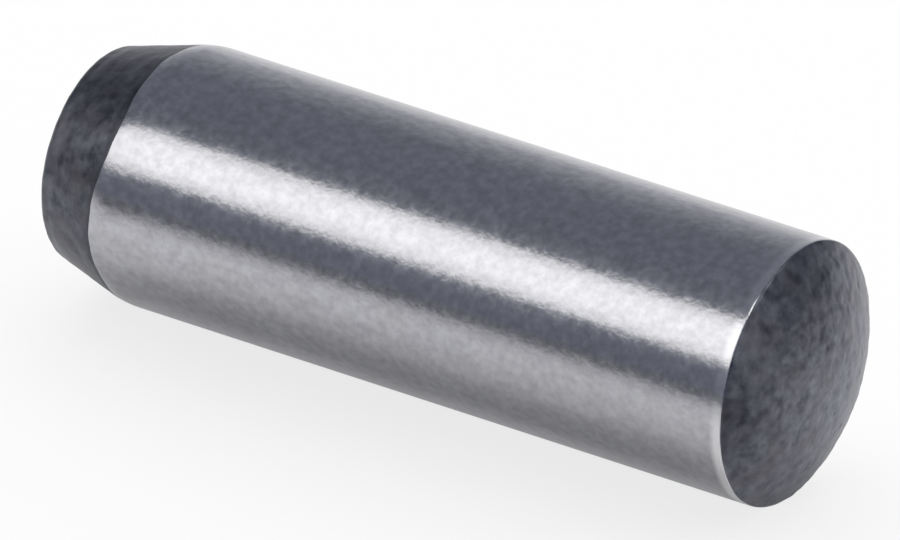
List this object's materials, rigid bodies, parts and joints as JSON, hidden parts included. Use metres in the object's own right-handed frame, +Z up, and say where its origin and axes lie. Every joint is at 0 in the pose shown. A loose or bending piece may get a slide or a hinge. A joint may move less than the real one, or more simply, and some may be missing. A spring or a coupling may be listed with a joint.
{
  "type": "catch pin",
  "caption": "Solid round steel pin with a ground shank, a crowned head end and a tapered lead end with a rounded nose, pressed into a hole as a catch, stop or locating pin.",
  "frame": {"origin": "on the pin's axis at half of its overall length", "axes": "+X along the axis towards the crowned head end, so the lead end points to -X; +Z up, with the pin lying on its side"},
  "size_m": [0.032, 0.01, 0.01],
  "materials": {
    "ground_steel": "fine ground and bright on the shank, dark unground hardening skin on the lead cone and the crowned ends"
  },
  "bodies": {
    "root": {"catch_pin": "ground_steel"}
  },
  "joints": []
}
